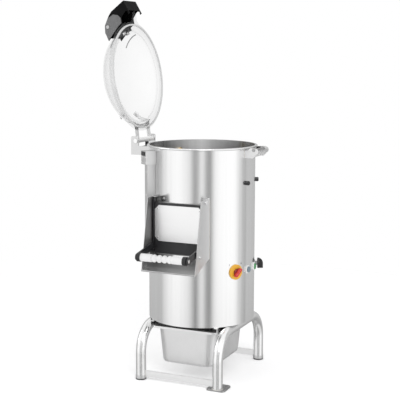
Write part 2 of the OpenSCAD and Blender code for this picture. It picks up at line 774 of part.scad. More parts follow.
module latch_bracket() {
    z0 = rim_z - 39;
    color("silver")
    difference() {
        union() {
            for (s = [0, 1]) mirror([0, s, 0]) {
                side_xz([[R - 12, z0], [R + 25, z0], [R + 38, z0 + 12], [R + 39, rim_z - 18],
                         [R + 34, rim_z - 2.5], [R + 14, rim_z - 3], [R + 9.5, rim_z - 7],
                         [R + 6, rim_z - 12],
                         [R - 12, rim_z - 12]], handle_hw + 1.5, handle_hw + 4.5);
                translate([R + 35, 0, rim_z - 15]) cy(handle_hw + 1.5, handle_hw + 4.5, 11);
            }
            translate([R + 12, -handle_hw - 2, z0]) cube([3, 2 * handle_hw + 4, 21]);
        }
        barrel_space(z0 - 1, rim_z + 5);
        translate([bar_x, 0, bar_zz]) cy(-handle_hw - 6, handle_hw + 6, bar_r + fit / 2);
    }
}
module catch_bar() {
    color("gainsboro")
    translate([bar_x, 0, bar_zz]) {
        cy(-handle_hw - 5.5, handle_hw + 5.5, bar_r);
        for (s = [-1, 1]) translate([0, s * (handle_hw + 6), 0]) cy(-1.3, 1.3, bar_r + 2);
    }
}
module latch_buffer() {
    color("black")
    translate([R + 9.5, 20, rim_z - 18 + seat]) cube([8, 20, 15]);
}

/* Chute and its door */
module chute_body() {
    t = chute_t;
    xo = chute_w / 2;
    yb = 12 - sqrt(R * R - xo * xo);
    yf = -R - chute_reach;
    zt = chute_z1;
    zl = lip_z;
    zb = chute_z0;
    side = [[yb, zt], [-R - chute_top_reach, zt - 3], [yf, zl], [yb, zb]];
    color("silver")
    difference() {
        union() {
            for (s = [0, 1]) mirror([s, 0, 0]) {
                side_yz(side, xo - t, xo);
                translate([xo - 18, -R - 13, zt - 3.4]) cube([18, 52, t]);
            }
            side_yz([[yb, zb], [yf, zl], [yf, zl + t], [yb, zb + t]], 1 - xo, xo - 1);
            translate([0, yf + 1, zl + 3]) cx(1 - xo, xo - 1, 3);
        }
        barrel_space(barrel_z, rim_z);
        for (s = [-1, 1]) {
            translate([s * xo, door_y, door_z]) cx(-10, 10, 4 + fit / 2);
            translate([s * xo, stop_y, stop_z]) cx(-10, 10, 4 + fit / 2);
        }
    }
}
// Square neck between the round barrel and the flat door
module outlet_collar() {
    w = outlet_hw + 3;
    color("gray")
    difference() {
        translate([-w, collar_y, outlet_z - 3]) cube([2 * w, R / 2, outlet_h + 6]);
        translate([-outlet_hw - 0.5, collar_y - 1, outlet_z]) cube([2 * outlet_hw + 1, R, outlet_h]);
        barrel_space(barrel_z, rim_z);
    }
}
module door_hinge_pins() {
    color("gainsboro")
    for (s = [0, 1]) mirror([s, 0, 0]) translate([0, door_y, door_z]) {
        cx(arm_x + 0.5, chute_w / 2 + 2, 4);
        cx(chute_w / 2 + 0.1, chute_w / 2 + 3, 6.5);
    }
}
module door_stop_pins() {
    color("gainsboro")
    for (s = [0, 1]) mirror([s, 0, 0]) translate([0, stop_y, stop_z]) {
        cx(arm_x - 1, chute_w / 2 + 2, 4);
        cx(chute_w / 2 + 0.1, chute_w / 2 + 3, 6.5);
    }
}
module door_seal() {
    color([0.08, 0.08, 0.08])
    translate([-seal_x, seal_y1, outlet_z + 1]) cube([2 * seal_x, 3, outlet_h + 2]);
}
module door_panel() {
    c = panel_c;
    w = panel_w / 2;
    z1 = outlet_z + outlet_h - 6;
    z0 = z1 - panel_h;
    color("whitesmoke")
    translate([0, seal_y1, 0]) rotate([90, 0, 0]) linear_extrude(2.5)
        polygon([[-w + c, z0], [w - c, z0], [w, z0 + c], [w, z1 - c],
                 [w - c, z1], [-w + c, z1], [-w, z1 - c], [-w, z0 + c]]);
}
module door_arms() {
    h = arm_h / 2;
    zk = outlet_z + 34;
    a = atan2(zk - grip_z, door_y + 6 - grip_y);
    l = norm([zk - grip_z, door_y + 6 - grip_y]);
    color([0.2, 0.2, 0.21])
    for (s = [0, 1]) mirror([s, 0, 0]) difference() {
        union() {
            translate([0, door_y, door_z]) cx(arm_x, arm_x + arm_t, 9);
            translate([arm_x, door_y - 9, zk - h]) cube([arm_t, 18, door_z - zk + h]);
            translate([0, grip_y, grip_z]) cx(arm_x, arm_x + arm_t, h);
            translate([arm_x, grip_y, grip_z]) rotate([a, 0, 0]) translate([0, 0, -h])
                cube([arm_t, l, arm_h]);
        }
        translate([0, door_y, door_z]) cx(arm_x - 1, arm_x + arm_t + 1, 4 + fit);
        translate([0, grip_y, grip_z]) cx(arm_x - 1, arm_x + arm_t + 1, 5 + fit / 2);
    }
}
module door_grip() {
    gr = grip_d / 2;
    pitch = 20;
    color("white")
    translate([0, grip_y, grip_z]) difference() {
        rotate([0, 90, 0]) rotate_extrude() difference() {
            union() {
                translate([5 + fit, -grip_l / 2]) square([gr - 4.5 - 5 - fit, grip_l]);
                for (s = [-1, 1]) translate([5 + fit, s * (grip_l / 2 + pitch * grip_n / 2) / 2
                    - (grip_l / 2 - pitch * grip_n / 2) / 2])
                    square([gr - 5 - fit, grip_l / 2 - pitch * grip_n / 2]);
                for (i = [0:grip_n - 1])
                    translate([gr - 9, (i - (grip_n - 1) / 2) * pitch]) circle(9);
            }
            translate([-30, -grip_l]) square([35 + fit, 2 * grip_l]);
        }
    }
}
module grip_ends() {
    color([0.1, 0.1, 0.1])
    for (s = [0, 1]) mirror([s, 0, 0]) translate([0, grip_y, grip_z]) difference() {
        union() {
            cx(grip_l / 2 + 0.1, arm_x - 0.1, grip_d / 2 + 2);
        }
        cx(grip_l / 2 - 1, arm_x + 1, 5 + fit / 2);
    }
}
module grip_rod() {
    color("gainsboro")
    translate([0, grip_y, grip_z]) {
        cx(-arm_x - arm_t - 1, arm_x + arm_t + 1, 5);
        for (s = [0, 1]) mirror([s, 0, 0]) cx(arm_x + arm_t + 0.1, arm_x + arm_t + 2.6, 6.5);
    }
}

/* Controls */
module side_buffers() {
    color("black")
    for (p = [-12, 23.5]) at(p, rim_z - 132) {
        difference() {
            union() {
                cx(R - 2, R + 11, 8);
                cx(R + 10.9, R + 13, 6.5);
            }
            translate([0, 0, -20]) cylinder(h = 40, r = Rs, $fn = 180);
        }
        cx(R - barrel_t, R + 4, 3);
    }
}
module main_switch_plate() {
    color("gold")
    at(phi_main, ctl_z) difference() {
        union() {
            difference() {
                cx(R - 6, R + 4.5, main_d / 2);
                translate([0, 0, -50]) cylinder(h = 100, r = Rs, $fn = 180);
            }
            cx(R - 12, R + 4, 12);
        }
        cx(R - 20, R + 10, 6 + fit);
    }
}
module main_switch_knob() {
    color("red")
    at(phi_main, ctl_z) rotate([-45, 0, 0]) {
        cx(R - 20, R + 6, 6);
        cx(R + 4.8, R + 10, 17.5);
        translate([R + 9, -6, -13]) cube([14, 12, 26]);
        for (s = [-1, 1]) translate([0, 0, s * 13]) cx(R + 9, R + 23, 6);
    }
}
// Ring of a push button, its front edge bevelled, with a neck through the barrel
module bezel() {
    difference() {
        union() {
            difference() {
                union() {
                    cx(R - 4, R + 4, bezel_d / 2);
                    translate([R + 4, 0, 0]) rotate([0, 90, 0])
                        cylinder(h = 2, r1 = bezel_d / 2, r2 = bezel_d / 2 - 2);
                }
                translate([0, 0, -30]) cylinder(h = 60, r = Rs, $fn = 180);
            }
            cx(R - 14, R + 2, 10.5);
        }
        cx(R + 1, R + 10, cap_d / 2 + 0.2);
        cx(R - 20, R + 10, 6 + 0.2);
    }
}
module button_bezels() {
    color("white") {
        at(phi_stop, ctl_z) bezel();
        at(phi_start, ctl_z) bezel();
    }
}
module button_cap() {
    cx(R - 12, R + 5, 6);
    cx(R + 1 + press + 0.4, R + 6 + press, cap_d / 2);
    translate([R + 6 + press, 0, 0]) rotate([0, 90, 0])
        cylinder(h = 1, r1 = cap_d / 2, r2 = cap_d / 2 - 1);
}
module stop_button() { color("slategray") at(phi_stop, ctl_z) button_cap(); }
module start_button() { color("green") at(phi_start, ctl_z) button_cap(); }
module timer_flange() {
    color("gray")
    at(phi_timer, ctl_z) difference() {
        union() {
            difference() {
                cx(R - 3, R + 3, 14.5);
                translate([0, 0, -30]) cylinder(h = 60, r = Rs, $fn = 180);
            }
            cx(R - 14, R + 2, 10);
            cx(R + 2, R + 11.5, 8);
        }
        cx(R - 20, R + 20, 5 + fit);
    }
}
// Knob with a square foot and a rounded head, seen from the side
module timer_knob() {
    k = timer_d / 2;
    color([0.07, 0.07, 0.07])
    at(phi_timer, ctl_z) {
        cx(R - 12, R + 14, 5);
        intersection() {
            cx(R + 12, R + 33, k);
            union() {
                translate([R + 12, -k, -k]) cube([6, 2 * k, 2 * k]);
                translate([R + 12, -7, -k]) cube([21, 14, k]);
                translate([R + 13, 0, 0]) cy(-7, 7, 20);
            }
        }
    }
}

barrel_shell();
abrasive_liner();
drum_floor();
base_plate();
bearing_housing();
motor_body();
motor_mount();
drive_belt();
drain_pipe();
control_box();
cable_gland();
water_nozzle();
left_leg_tube();
right_leg_tube();
cross_bars();
foot_plate();
rubber_feet();
frame_bolts();
tray_rails();
hinge_bracket();
hinge_pin();
switch_box();
switch_plug();
wire_duct();
latch_bracket();
hinge_stop();
catch_bar();
latch_buffer();
chute_body();
outlet_collar();
door_hinge_pins();
door_stop_pins();
side_buffers();
main_switch_plate();
button_bezels();
timer_flange();
lid_dome();
lid_seal();
lid_hinge_plate();
lid_screws();
handle_mount();
handle_pin();
latch_handle();
handle_caps();
door_seal();
door_panel();
door_arms();
door_grip();
grip_ends();
grip_rod();
peel_tray();
abrasive_disc();
main_shaft();
drive_pulley();
motor_pulley();
main_switch_knob();
stop_button();
start_button();
timer_knob();
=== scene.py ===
import math

import bmesh
import bpy
from mathutils import Matrix, Vector


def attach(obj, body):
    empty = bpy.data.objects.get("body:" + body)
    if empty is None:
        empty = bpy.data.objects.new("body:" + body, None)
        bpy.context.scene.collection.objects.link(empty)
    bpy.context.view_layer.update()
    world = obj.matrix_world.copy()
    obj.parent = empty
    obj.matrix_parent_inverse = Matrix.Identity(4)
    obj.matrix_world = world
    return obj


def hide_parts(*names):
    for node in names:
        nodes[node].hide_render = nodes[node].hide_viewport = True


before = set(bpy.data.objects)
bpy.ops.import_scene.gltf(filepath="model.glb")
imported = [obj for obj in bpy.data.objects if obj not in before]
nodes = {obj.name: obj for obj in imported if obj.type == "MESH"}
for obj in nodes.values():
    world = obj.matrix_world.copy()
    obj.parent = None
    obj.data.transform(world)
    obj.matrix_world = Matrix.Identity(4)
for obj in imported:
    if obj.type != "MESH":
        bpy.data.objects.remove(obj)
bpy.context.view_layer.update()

# ---------------------------------------------------------------- Camera
# The photographer stood a little right of the machine and above its rim, with a long lens.
# Columns: the camera's right, its up, its back and its place.


def linked(name, data):
    """An object in the scene that shows this data."""
    thing = bpy.data.objects.new(name, data)
    bpy.context.scene.collection.objects.link(thing)
    return thing


camera_data = bpy.data.cameras.new("camera")
camera_data.lens = 89.6
camera_data.shift_y = -0.0483
camera = linked("camera", camera_data)
camera.matrix_world = Matrix((
    (0.91205745, -0.05496448, 0.40636204, 1.51932242),
    (0.41005318, 0.11559115, -0.90470718, -3.40132156),
    (0.00275491, 0.99177497, 0.12796413, 1.21166131),
    (0, 0, 0, 1)))
bpy.context.scene.camera = camera
bpy.context.scene.view_settings.view_transform = "Standard"

# ---------------------------------------------------------------- Studio
# A white sweep under even light, ringed by tall light boxes with grey gaps between them, which
# only the metal shows. The floor fades into the white around it, so no edge of it is seen.


def made(tree, kind, values=None, **ways):
    """Adds a node of that kind, with these ways to work and these values in its sockets."""
    node = tree.nodes.new(kind)
    for key, value in ways.items():
        setattr(node, key, value)
    for socket, value in (values or {}).items():
        node.inputs[socket].default_value = value
    return node


def wired(tree, *links):
    """Links sockets of the tree, each link written as (node, socket, node, socket)."""
    for start, out, end, into in links:
        tree.links.new(start.outputs[out], end.inputs[into])


def meshed(name, shape):
    """The mesh of a shape that is finished."""
    mesh = bpy.data.meshes.new(name)
    shape.to_mesh(mesh)
    shape.free()
    return mesh


def bare_finish(name):
    """A material with nothing in its tree but an output, with its tree and that output."""
    m = bpy.data.materials.new(name)
    m.use_nodes = True
    m.node_tree.nodes.clear()
    return m, m.node_tree, made(m.node_tree, "ShaderNodeOutputMaterial")


# The camera, and what it sees in metal or through the lid, meets a whiter sky than the light does
world = bpy.data.worlds.new("studio")
bpy.context.scene.world = world
world.use_nodes = True
sky = world.node_tree
sky.nodes.clear()
sky_out = made(sky, "ShaderNodeOutputWorld")
sky_mix = made(sky, "ShaderNodeMixShader")
sky_light = made(sky, "ShaderNodeBackground", {"Color": (1, 1, 1, 1), "Strength": 0.66})
sky_seen = made(sky, "ShaderNodeBackground", {"Color": (1, 1, 1, 1), "Strength": 1.0})
sky_path = made(sky, "ShaderNodeLightPath")
sky_any = made(sky, "ShaderNodeMath", operation="MAXIMUM")
sky_all = made(sky, "ShaderNodeMath", operation="MAXIMUM")
wired(sky,
      (sky_path, "Is Camera Ray", sky_any, 0), (sky_path, "Is Transmission Ray", sky_any, 1),
      (sky_any, 0, sky_all, 0), (sky_path, "Is Glossy Ray", sky_all, 1),
      (sky_all, 0, sky_mix, 0), (sky_light, 0, sky_mix, 1), (sky_seen, 0, sky_mix, 2),
      (sky_mix, 0, sky_out, 0))

floor_shape = bmesh.new()
bmesh.ops.create_circle(floor_shape, cap_ends=True, segments=96, radius=2.6)
floor_mesh = meshed("studio_floor", floor_shape)
floor = linked("studio_floor", floor_mesh)
floor.visible_glossy = False
paper, pt, p_out = bare_finish("white_sweep")
p_paint = made(pt, "ShaderNodeBsdfDiffuse", {"Color": (0.93, 0.93, 0.935, 1)})
p_glow = made(pt, "ShaderNodeEmission", {"Strength": 0.33})
p_add = made(pt, "ShaderNodeAddShader")
p_away = made(pt, "ShaderNodeBsdfTransparent")
p_mix = made(pt, "ShaderNodeMixShader")
p_co = made(pt, "ShaderNodeTexCoord")
p_len = made(pt, "ShaderNodeVectorMath", operation="LENGTH")
p_fade = made(pt, "ShaderNodeMapRange", {"From Min": 0.75, "From Max": 2.5},
              interpolation_type="SMOOTHSTEP")
wired(pt,
      (p_co, "Object", p_len, 0), (p_len, "Value", p_fade, "Value"), (p_fade, 0, p_mix, 0),
      (p_paint, 0, p_add, 0), (p_glow, 0, p_add, 1), (p_add, 0, p_mix, 1), (p_away, 0, p_mix, 2),
      (p_mix, 0, p_out, 0))
floor_mesh.materials.append(paper)

wall_r, wall_low, wall_high, wall_sides = 5, -3.2, 3.6, 144
wall_shape = bmesh.new()
for i in range(wall_sides):
    a = math.radians(i * 360 / wall_sides)
    for z in (wall_low, wall_high):
        wall_shape.verts.new((wall_r * math.cos(a), wall_r * math.sin(a), z))
wall_shape.verts.ensure_lookup_table()
for i in range(wall_sides):
    j = (i + 1) % wall_sides
    wall_shape.faces.new([wall_shape.verts[k] for k in (2 * i, 2 * i + 1, 2 * j + 1, 2 * j)])
wall_shape.faces.new([wall_shape.verts[2 * i] for i in range(wall_sides)])
wall_mesh = meshed("studio_wall", wall_shape)
wall = linked("studio_wall", wall_mesh)
wall.visible_camera = False
wall.visible_diffuse = False
wall.visible_transmission = False
wall.visible_shadow = False
cards, ct, c_out = bare_finish("light_boxes_and_walls")
c_glow = made(ct, "ShaderNodeEmission")
c_co = made(ct, "ShaderNodeTexCoord")
c_xyz = made(ct, "ShaderNodeSeparateXYZ")
c_turn = made(ct, "ShaderNodeMath", operation="ARCTAN2")
c_share = made(ct, "ShaderNodeMapRange", {"From Min": -math.pi, "From Max": math.pi})
c_ramp = made(ct, "ShaderNodeValToRGB")
c_ramp.color_ramp.interpolation = "EASE"
# Angle round the machine in degrees, anticlockwise from +X, and how bright the studio is there
studio_lights = [(-180, 0.60), (-164, 0.55), (-150, 0.90), (-138, 1.05), (-125, 1.15), (-112, 1.12),
                 (-100, 1.02), (-91, 0.92), (-84, 0.50), (-80, 0.28), (-76, 0.32), (-71, 0.88),
                 (-67, 1.05), (-63, 0.98), (-58, 0.50), (-54, 0.26), (-47, 0.32), (-42, 0.95),
                 (-36, 1.10), (-20, 1.20), (8, 1.20), (20, 0.85), (30, 0.60), (38, 0.42),
                 (44, 0.62), (110, 0.52), (180, 0.60)]
for k, (deg, v) in enumerate(studio_lights):
    stop = c_ramp.color_ramp.elements[k] if k < 2 else c_ramp.color_ramp.elements.new(1)
    stop.position = (deg + 180) / 360
    stop.color = (v, v, v, 1)
c_low = made(ct, "ShaderNodeMapRange",
             {"From Min": -2.4, "From Max": -0.7, "To Min": 0.66, "To Max": 1.0})
wired(ct,
      (c_co, "Object", c_xyz, 0), (c_xyz, "Z", c_low, "Value"), (c_low, 0, c_glow, "Strength"),
      (c_xyz, "Y", c_turn, 0), (c_xyz, "X", c_turn, 1), (c_turn, 0, c_share, "Value"),
      (c_share, 0, c_ramp, 0), (c_ramp, 0, c_glow, "Color"), (c_glow, 0, c_out, 0))
wall_mesh.materials.append(cards)

lit_middle = Vector((0, 0, 0.6))
for name, place, size, power in (("key_light", (1.9, -2.6, 2.9), 1.8, 34),
                                 ("fill_light", (-2.8, -1.4, 1.9), 1.8, 16)):
    lamp = bpy.data.lights.new(name, "AREA")
    lamp.size = size
    lamp.energy = power
    stand = linked(name, lamp)
    stand.location = place
    stand.rotation_euler = (Vector(place) - lit_middle).to_track_quat("Z", "Y").to_euler()

# ---------------------------------------------------------------- Leg frames
# Two inverted U tubes of polished stainless steel, bent cold, carry the barrel. Their metal is
# mirror-bright, with the fine lengthwise marks of the polishing belt.


def new_finish(name):
    """A new material, with its tree, its Principled node and its coordinates."""
    m = bpy.data.materials.new(name)
    m.use_nodes = True
    t = m.node_tree
    return m, t, t.nodes["Principled BSDF"], made(t, "ShaderNodeTexCoord")


def shaded(t, low, high, start, end):
    """Turns a value between low and high into a colour from start to end, at its output 1."""
    return made(t, "ShaderNodeMapRange", {7: (low,) * 3, 8: (high,) * 3, 9: start, 10: end},
                data_type="FLOAT_VECTOR")


def metal(name, tone, rough, grain, depth=0.05, streak=0.08, tint=(1, 1, 1), inside=None):
    """Worked metal: grain is how often its marks repeat per metre along X, Y and Z. With inside,
    what lies within its reach of the middle along its axes gets painted shade and another
    roughness, as the function below says."""
    m, t, face, co = new_finish(name)
    face.inputs["Metallic"].default_value = 1.0
    scale = made(t, "ShaderNodeMapping", {"Scale": grain})
    fine = made(t, "ShaderNodeTexNoise", {"Scale": 1.0, "Detail": 4.0})
    broad = made(t, "ShaderNodeTexNoise", {"Scale": 0.09, "Detail": 2.0})
    both = made(t, "ShaderNodeMath", {1: 0.5}, operation="MULTIPLY_ADD")
    colour = shaded(t, 0.25, 0.85, [tone * (1 - streak) * c for c in tint],
                    [min(1.0, tone * (1 + streak * 0.6)) * c for c in tint])
    gloss = made(t, "ShaderNodeMapRange", {
        "From Min": 0.3, "From Max": 0.8, "To Min": rough * 0.8, "To Max": rough * 1.25})
    bump = made(t, "ShaderNodeBump", {"Strength": depth, "Distance": 0.0006})
    wired(t,
          (co, "Object", scale, "Vector"), (scale, 0, fine, "Vector"), (scale, 0, broad, "Vector"),
          (fine, "Fac", both, 0), (broad, "Fac", both, 2), (both, 0, colour, "Vector"),
          (both, 0, gloss, "Value"), (fine, "Fac", bump, "Height"), (bump, 0, face, "Normal"))
    if inside:
        worn_inside(t, co, colour, gloss, face, rough, **inside)
    else:
        wired(t, (colour, 1, face, "Base Color"), (gloss, 0, face, "Roughness"))
    return m


def worn_inside(t, co, colour, gloss, face, rough, axes, reach, tone, middle, ends, across,
                heights):
    """Paints shade on the metal: darkens it to that share, tone, within reach along the axes, more
    and more between the two heights. Middle and ends are (share of the painted shade, roughness) in
    the middle and at the ends of the direction across."""
    flat = made(t, "ShaderNodeVectorMath", {1: axes}, operation="MULTIPLY")
    far = made(t, "ShaderNodeVectorMath", operation="LENGTH")
    within = made(t, "ShaderNodeMath", {1: reach}, operation="LESS_THAN")
    parts = made(t, "ShaderNodeSeparateXYZ")
    height = made(t, "ShaderNodeMapRange", {"From Min": heights[0], "From Max": heights[1]})
    here = made(t, "ShaderNodeMath", operation="MULTIPLY")
    along = made(t, "ShaderNodeVectorMath", {1: across}, operation="DOT_PRODUCT")
    aside = made(t, "ShaderNodeMath", operation="ABSOLUTE")
    shade = made(t, "ShaderNodeMapRange",
                 {"From Max": reach, "To Min": middle[0], "To Max": ends[0]})
    # The share of painted shade here, and the colour that it darkens
    darker = made(t, "ShaderNodeMath", operation="MULTIPLY")
    painted_shade_colour = made(t, "ShaderNodeMix", {7: (tone, tone, tone, 1)}, data_type="RGBA",
                 blend_type="MULTIPLY")
    wear = made(t, "ShaderNodeMapRange",
                {"From Max": reach, "To Min": middle[1] - rough, "To Max": ends[1] - rough})
    duller = made(t, "ShaderNodeMath", operation="MULTIPLY_ADD")
    wired(t,
          (co, "Object", flat, 0), (flat, 0, far, 0), (far, "Value", within, 0),
          (co, "Object", parts, 0), (parts, "Z", height, "Value"),
          (within, 0, here, 0), (height, 0, here, 1),
          (co, "Object", along, 0), (along, "Value", aside, 0),
          (aside, 0, shade, "Value"), (here, 0, darker, 0), (shade, 0, darker, 1),
          (darker, 0, painted_shade_colour, 0), (colour, 1, painted_shade_colour, 6), (painted_shade_colour, 2, face, "Base Color"),
          (aside, 0, wear, "Value"), (here, 0, duller, 0), (wear, 0, duller, 1),
          (gloss, 0, duller, 2), (duller, 0, face, "Roughness"))


def finish_with(material, *names):
    """Gives these CAD nodes that finish."""
    for n in names:
        for s in nodes[n].material_slots:
            s.material = material


polished_tube = metal("polished_tube", tone=0.88, rough=0.19, grain=(500, 30, 500), depth=0.02,
                      streak=0.05)
finish_with(polished_tube, "left_leg_tube", "right_leg_tube")

# ---------------------------------------------------------------- Cross bars and foot plate
# Flat bars join the legs near the floor, and a thick plate under one leg takes two floor bolts.
# Both are cut from hot rolled stainless bar, ground lengthwise.
ground_bar = metal("ground_bar", tone=0.86, rough=0.32, grain=(25, 600, 600), depth=0.10,
                   streak=0.10)
finish_with(ground_bar, "cross_bars")
plate_steel = metal("foot_plate_steel", tone=0.42, rough=0.38, grain=(40, 300, 300), depth=0.10,
                    streak=0.15)
finish_with(plate_steel, "foot_plate")

# Fillet welds hold the bars' ends and the foot plate to the tubes: small overlapping ripples,
# a little straw-coloured from the heat.


def stitched(shape, rings, count):
    """Adds the faces between neighbouring rings of that many points, or of one point at a tip."""
    for low, high in zip(rings, rings[1:]):
        for k in range(count):
            n = k + 1
            corners = (low[k % len(low)], low[n % len(low)],
                       high[n % len(high)], high[k % len(high)])
            shape.faces.new(list(dict.fromkeys(corners)))


def lathed(profile, sides):
    """A shape turned round Z from (radius, height) pairs. It is a pattern, set by spread()."""
    shape = bmesh.new()
    rings = []
    for r, z in profile:
        turns = [2 * math.pi * k / sides for k in range(sides if r else 1)]
        rings.append([shape.verts.new((r * math.cos(a), r * math.sin(a), z)) for a in turns])
    stitched(shape, rings, sides)
    bmesh.ops.remove_doubles(shape, verts=shape.verts, dist=1e-7)
    bmesh.ops.recalc_face_normals(shape, faces=shape.faces)
    return meshed("pattern", shape)


def tree_of(name, inputs, output):
    """A geometry tree with these (label, kind) inputs and one output, with its two end nodes."""
    tree = bpy.data.node_groups.new(name, "GeometryNodeTree")
    for label, kind in inputs:
        tree.interface.new_socket(label, in_out="INPUT", socket_type="NodeSocket" + kind)
    tree.interface.new_socket(output, in_out="OUTPUT", socket_type="NodeSocketGeometry")
    return tree, made(tree, "NodeGroupInput"), made(tree, "NodeGroupOutput")


# The tree that sets a pattern on points, its Z along the point's out and its X along its along
setting, s_in, s_out = tree_of(
    "set_on_points", (("Points", "Geometry"), ("Pattern", "Object"), ("Finish", "Material")),
    "Pieces")
s_pattern = made(setting, "GeometryNodeObjectInfo")
s_ways = [made(setting, "GeometryNodeInputNamedAttribute", {"Name": label},
               data_type="FLOAT_VECTOR") for label in ("out", "along")]
s_turn = made(setting, "FunctionNodeAxesToRotation", primary_axis="Z", secondary_axis="X")
s_put = made(setting, "GeometryNodeInstanceOnPoints")
s_real = made(setting, "GeometryNodeRealizeInstances")
s_finish = made(setting, "GeometryNodeSetMaterial")
wired(setting,
      (s_in, "Pattern", s_pattern, "Object"), (s_in, "Points", s_put, "Points"),
      (s_pattern, "Geometry", s_put, "Instance"),
      (s_ways[0], "Attribute", s_turn, "Primary Axis"),
      (s_ways[1], "Attribute", s_turn, "Secondary Axis"),
      (s_turn, 0, s_put, "Rotation"), (s_put, 0, s_real, 0), (s_real, 0, s_finish, "Geometry"),
      (s_in, "Finish", s_finish, "Material"), (s_finish, 0, s_out, 0))


def placed(name, mesh, body, finish=None):
    """Puts a finished mesh in the scene as a piece of that body."""
    mesh.name = name
    piece = linked(name, mesh)
    if finish:
        mesh.materials.append(finish)
    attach(piece, body)
    return piece


def made_plain(carrier, tree, values, name, body):
    """Runs the tree on carrier with these values, and makes of it a plain piece of that body."""
    grower = carrier.modifiers.new("grow", "NODES")
    grower.node_group = tree
    for label, value in values.items():
        grower[tree.interface.items_tree[label].identifier] = value
    bpy.context.view_layer.update()
    grown = carrier.evaluated_get(bpy.context.evaluated_depsgraph_get())
    mesh = bpy.data.meshes.new_from_object(grown)
    for label in ("out", "along"):
        if label in mesh.attributes:
            mesh.attributes.remove(mesh.attributes[label])
    bpy.data.objects.remove(carrier)
    placed(name, mesh, body)


def spread(name, pattern, spots, finish, body):
    """Sets the pattern on each spot, written as (place, way out, way along)."""
    points = bpy.data.meshes.new(name)
    points.from_pydata([spot[0] for spot in spots], [], [])
    for k, label in ((1, "out"), (2, "along")):
        way = points.attributes.new(label, "FLOAT_VECTOR", "POINT")
        for i, spot in enumerate(spots):
            way.data[i].vector = spot[k]
    shown = bpy.data.objects.new(name + "_pattern", pattern)
    made_plain(linked(name + "_points", points), setting, {"Pattern": shown, "Finish": finish},
               name, body)
    bpy.data.objects.remove(shown)


def seam(start, end, pitch, out):
    """Spots a pitch apart from start to end."""
    start, end = Vector(start), Vector(end)
    count = round((end - start).length / pitch)
    return [(start.lerp(end, (k + 0.5) / count), Vector(out), end - start) for k in range(count)]


leg_x, leg_y, tube_r = 0.1554, 0.206, 0.019
bar_low, bar_high, bar_half, plate_top = 0.0105, 0.0345, 0.0027, 0.0053
weld_metal = metal("weld_bead", tone=0.62, rough=0.34, grain=(900, 900, 900), depth=0.10,
                   streak=0.20, tint=(1.0, 0.97, 0.92))
ripple = lathed([(0, -0.0004), (0.0019, -0.0004), (0.0016, 0.0004), (0.0008, 0.0008), (0, 0.0009)],
                8)
fillets = []
for sx in (-1, 1):
    for sy in (-1, 1):
        for side in (-1, 1):
            x, y = sx * (leg_x - tube_r), sy * leg_y + side * bar_half
            fillets += seam((x, y, bar_low), (x, y, bar_high), pitch=0.0026,
                            out=(-0.7 * sx, 0.7 * side, 0))
round_leg, ripples = tube_r + 0.0005, 44
for k in range(ripples):
    a = 2 * math.pi * k / ripples
    c, d = math.cos(a), math.sin(a)
    fillets.append(((leg_x + round_leg * c, round_leg * d - leg_y, plate_top),
                    (c, d, 0.8), (-d, c, 0)))
spread("frame_welds", ripple, fillets, weld_metal, "machine")

# ---------------------------------------------------------------- Rubber feet and buffers
# Moulded rubber: grey caps with a dark sole in the ends of the tubes, and in black two buffers on
# the barrel's side, the block that the open lid leans on and the one beside the latch.


def moulded(name, colour, rough, speck=0.15, grain=700.0, depth=0.12, coat=0.0, shine=0.5,
            sole=None):
    """Moulded rubber or plastic with a fine sparked grain; shine is how much it reflects. With
    sole as (height, colour), what lies below that height has that colour."""
    m, t, face, co = new_finish(name)
    face.inputs["Specular IOR Level"].default_value = shine
    face.inputs["Coat Weight"].default_value = coat
    face.inputs["Coat Roughness"].default_value = 0.12
    fine = made(t, "ShaderNodeTexNoise", {"Scale": grain, "Detail": 3.0})
    cloudy = made(t, "ShaderNodeTexNoise", {"Scale": 22.0, "Detail": 3.0})
    shade = shaded(t, 0.3, 0.7, [c * (1 - speck) for c in colour],
                   [min(1.0, c * (1 + speck) + 0.004) for c in colour])
    gloss = made(t, "ShaderNodeMapRange", {
        "From Min": 0.3, "From Max": 0.7, "To Min": rough * 0.85, "To Max": min(1.0, rough * 1.15)})
    bump = made(t, "ShaderNodeBump", {"Strength": depth, "Distance": 0.0004})
    wired(t,
          (co, "Object", fine, "Vector"), (co, "Object", cloudy, "Vector"),
          (cloudy, "Fac", shade, "Vector"), (cloudy, "Fac", gloss, "Value"),
          (gloss, 0, face, "Roughness"), (fine, "Fac", bump, "Height"),
          (bump, 0, face, "Normal"))
    if sole:
        apart = made(t, "ShaderNodeSeparateXYZ")
        above = made(t, "ShaderNodeMath", {1: sole[0]}, operation="GREATER_THAN")
        tones = made(t, "ShaderNodeMix", {6: (*sole[1], 1)}, data_type="RGBA")
        wired(t,
              (co, "Object", apart, 0), (apart, "Z", above, 0), (above, 0, tones, 0),
              (shade, 1, tones, 7), (tones, 2, face, "Base Color"))
    else:
        wired(t, (shade, 1, face, "Base Color"))
    return m


black_rubber = moulded("black_rubber", (0.014, 0.014, 0.015), rough=0.62, speck=0.25, shine=0.25)
finish_with(black_rubber, "hinge_stop", "latch_buffer", "drive_belt")
buffer_rubber = moulded("buffer_rubber", (0.026, 0.026, 0.028), rough=0.34, speck=0.2, shine=0.5)
finish_with(buffer_rubber, "side_buffers")
foot_rubber = moulded("foot_rubber", (0.50, 0.50, 0.50), rough=0.40, speck=0.05, grain=500.0,
                      depth=0.06, coat=0.0, shine=0.6, sole=(0.0045, (0.02, 0.02, 0.02)))
finish_with(foot_rubber, "rubber_feet")
rib_r, rib_out, rib_half, rib_heights = 0.0198, 0.0009, 0.0011, (0.006, 0.0105, 0.015)
loop = [(rib_r + rib_out * math.cos(a), rib_half * math.sin(a))
        for a in [k * math.pi / 3 for k in range(7)]]
spread("foot_ribs", lathed(loop, 48),
       [((x * leg_x, y * leg_y, z), (0, 0, 1), (1, 0, 0))
        for x, y in ((-1, -1), (-1, 1), (1, 1)) for z in rib_heights],
       foot_rubber, "machine")
